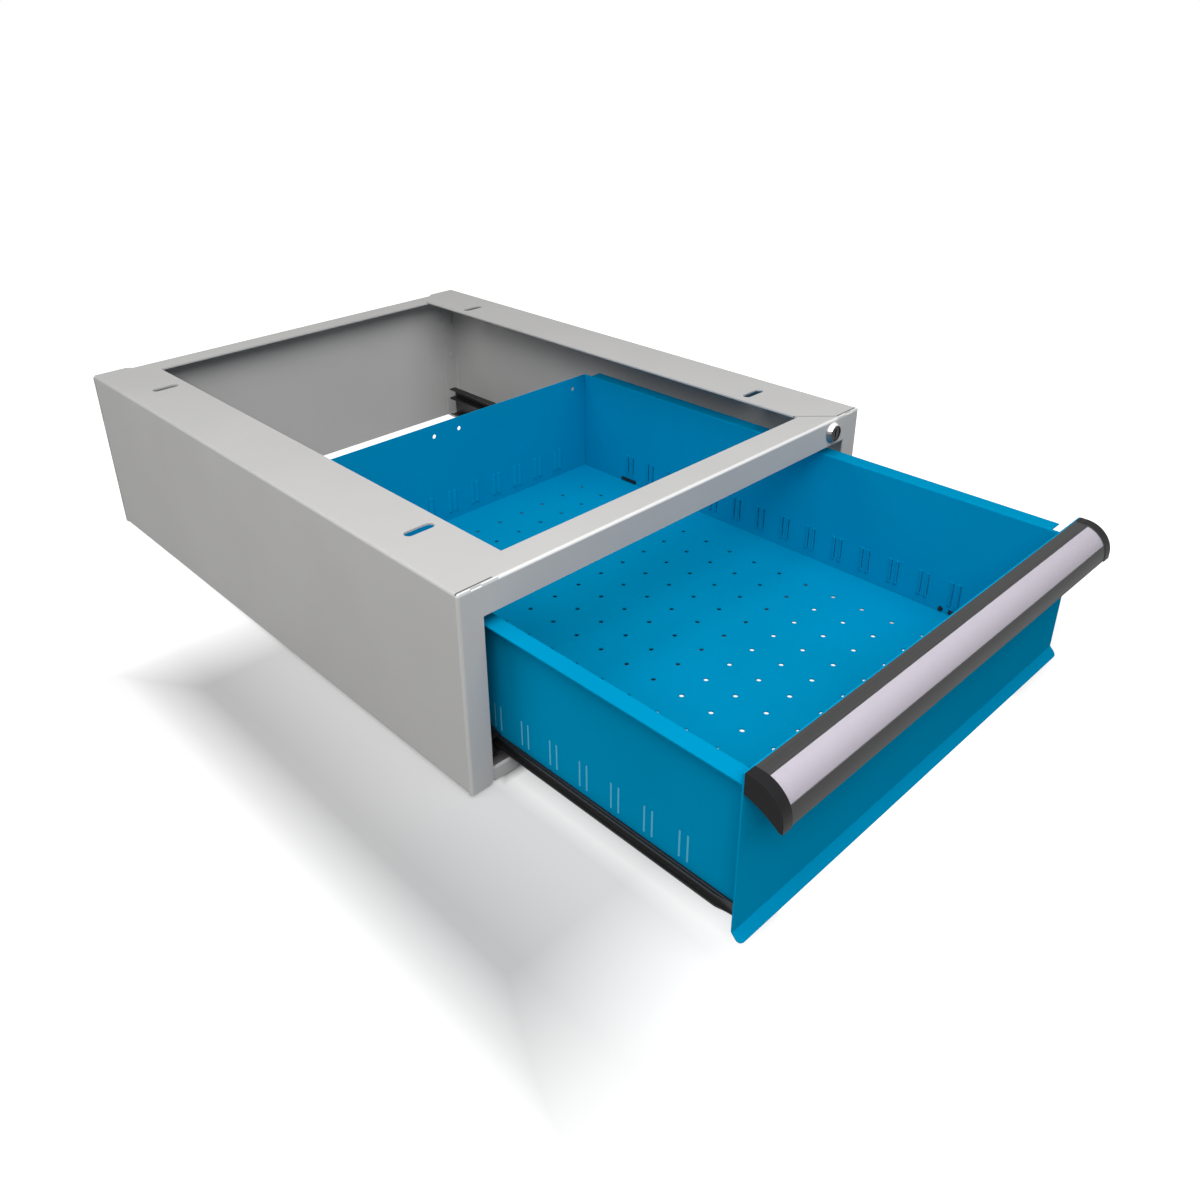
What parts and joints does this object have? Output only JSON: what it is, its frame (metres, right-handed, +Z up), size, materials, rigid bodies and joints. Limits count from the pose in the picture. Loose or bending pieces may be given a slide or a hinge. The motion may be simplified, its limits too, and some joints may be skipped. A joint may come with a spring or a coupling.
{
  "type": "under-bench drawer unit",
  "caption": "Open sheet-metal housing that bolts under a bench top, with one perforated drawer on telescopic ball slides, a full-width handle and a cam lock.",
  "frame": {"origin": "centre of the housing's top face, which is the centre of its four mounting slots", "axes": "+X to the right seen from the front, +Y to the back, +Z up; the drawer pulls out along -Y"},
  "size_m": [0.45, 0.8242, 0.163],
  "materials": {
    "grey_paint": "light grey powder coat",
    "blue_paint": "bright blue powder coat",
    "black_steel": "black coated slide steel",
    "bright_steel": "polished ball steel",
    "zinc": "zinc plated steel",
    "dark_plastic": "dark grey satin plastic",
    "label_card": "pale blank label card",
    "clear_plastic": "clear label cover",
    "lock_chrome": "polished chrome"
  },
  "bodies": {
    "housing": {"bracket_rivets": "black_steel", "housing_bottom_rail": "grey_paint", "housing_front_rail": "grey_paint", "housing_rear_panel": "grey_paint", "housing_side_left": "grey_paint", "housing_side_right": "grey_paint", "lock_housing": "lock_chrome", "lock_nut": "zinc", "rear_panel_rivets": "grey_paint", "slide_bracket_front_left": "grey_paint", "slide_bracket_front_right": "grey_paint", "slide_bracket_rear_left": "grey_paint", "slide_bracket_rear_right": "grey_paint", "slide_cabinet_member_left": "black_steel", "slide_cabinet_member_right": "black_steel"},
    "drawer": {"drawer_floor": "blue_paint", "drawer_front_panel": "blue_paint", "drawer_rear_wall": "blue_paint", "drawer_side_left": "blue_paint", "drawer_side_right": "blue_paint", "handle_cap_left": "dark_plastic", "handle_cap_right": "dark_plastic", "handle_profile": "dark_plastic", "handle_screws": "zinc", "label_cover": "clear_plastic", "label_strip": "label_card", "slide_drawer_member_left": "black_steel", "slide_drawer_member_right": "black_steel"},
    "intermediate_left": {"slide_intermediate_left": "black_steel"},
    "intermediate_right": {"slide_intermediate_right": "black_steel"},
    "outer_cage_left": {"outer_balls_left": "bright_steel", "outer_cage_left": "zinc"},
    "outer_cage_right": {"outer_balls_right": "bright_steel", "outer_cage_right": "zinc"},
    "inner_cage_left": {"inner_balls_left": "bright_steel", "inner_cage_left": "zinc"},
    "inner_cage_right": {"inner_balls_right": "bright_steel", "inner_cage_right": "zinc"},
    "lock_cylinder": {"lock_cam": "zinc", "lock_cam_screw": "zinc", "lock_plug": "lock_chrome"}
  },
  "joints": [
    {"name": "intermediate_left_slide", "type": "slide", "parent": "housing", "child": "intermediate_left", "axis": [0, -1, 0], "range_m": [-0.003, 0.247]},
    {"name": "drawer_slide", "type": "slide", "parent": "intermediate_left", "child": "drawer", "axis": [0, -1, 0], "range_m": [-0.2054, 0.0446]},
    {"name": "intermediate_right_slide", "type": "slide", "parent": "housing", "child": "intermediate_right", "axis": [0, -1, 0], "range_m": [-0.003, 0.247]},
    {"name": "outer_cage_left_slide", "type": "slide", "parent": "housing", "child": "outer_cage_left", "axis": [0, -1, 0], "range_m": [-0.0015, 0.1235]},
    {"name": "inner_cage_left_slide", "type": "slide", "parent": "intermediate_left", "child": "inner_cage_left", "axis": [0, -1, 0], "range_m": [-0.1027, 0.0223]},
    {"name": "outer_cage_right_slide", "type": "slide", "parent": "housing", "child": "outer_cage_right", "axis": [0, -1, 0], "range_m": [-0.0015, 0.1235]},
    {"name": "inner_cage_right_slide", "type": "slide", "parent": "intermediate_right", "child": "inner_cage_right", "axis": [0, -1, 0], "range_m": [-0.1027, 0.0223]},
    {"name": "lock_turn", "type": "hinge", "parent": "housing", "child": "lock_cylinder", "pos_m": [0.1855, -0.295, -0.012], "axis": [0, 1, 0], "range_deg": [0, 90]}
  ],
  "couplings": [
    {"joint": "intermediate_right_slide", "follows": "intermediate_left_slide", "ratio": 1},
    {"joint": "outer_cage_left_slide", "follows": "intermediate_left_slide", "ratio": 0.5},
    {"joint": "inner_cage_left_slide", "follows": "drawer_slide", "ratio": 0.5},
    {"joint": "outer_cage_right_slide", "follows": "intermediate_left_slide", "ratio": 0.5},
    {"joint": "inner_cage_right_slide", "follows": "drawer_slide", "ratio": 0.5}
  ]
}
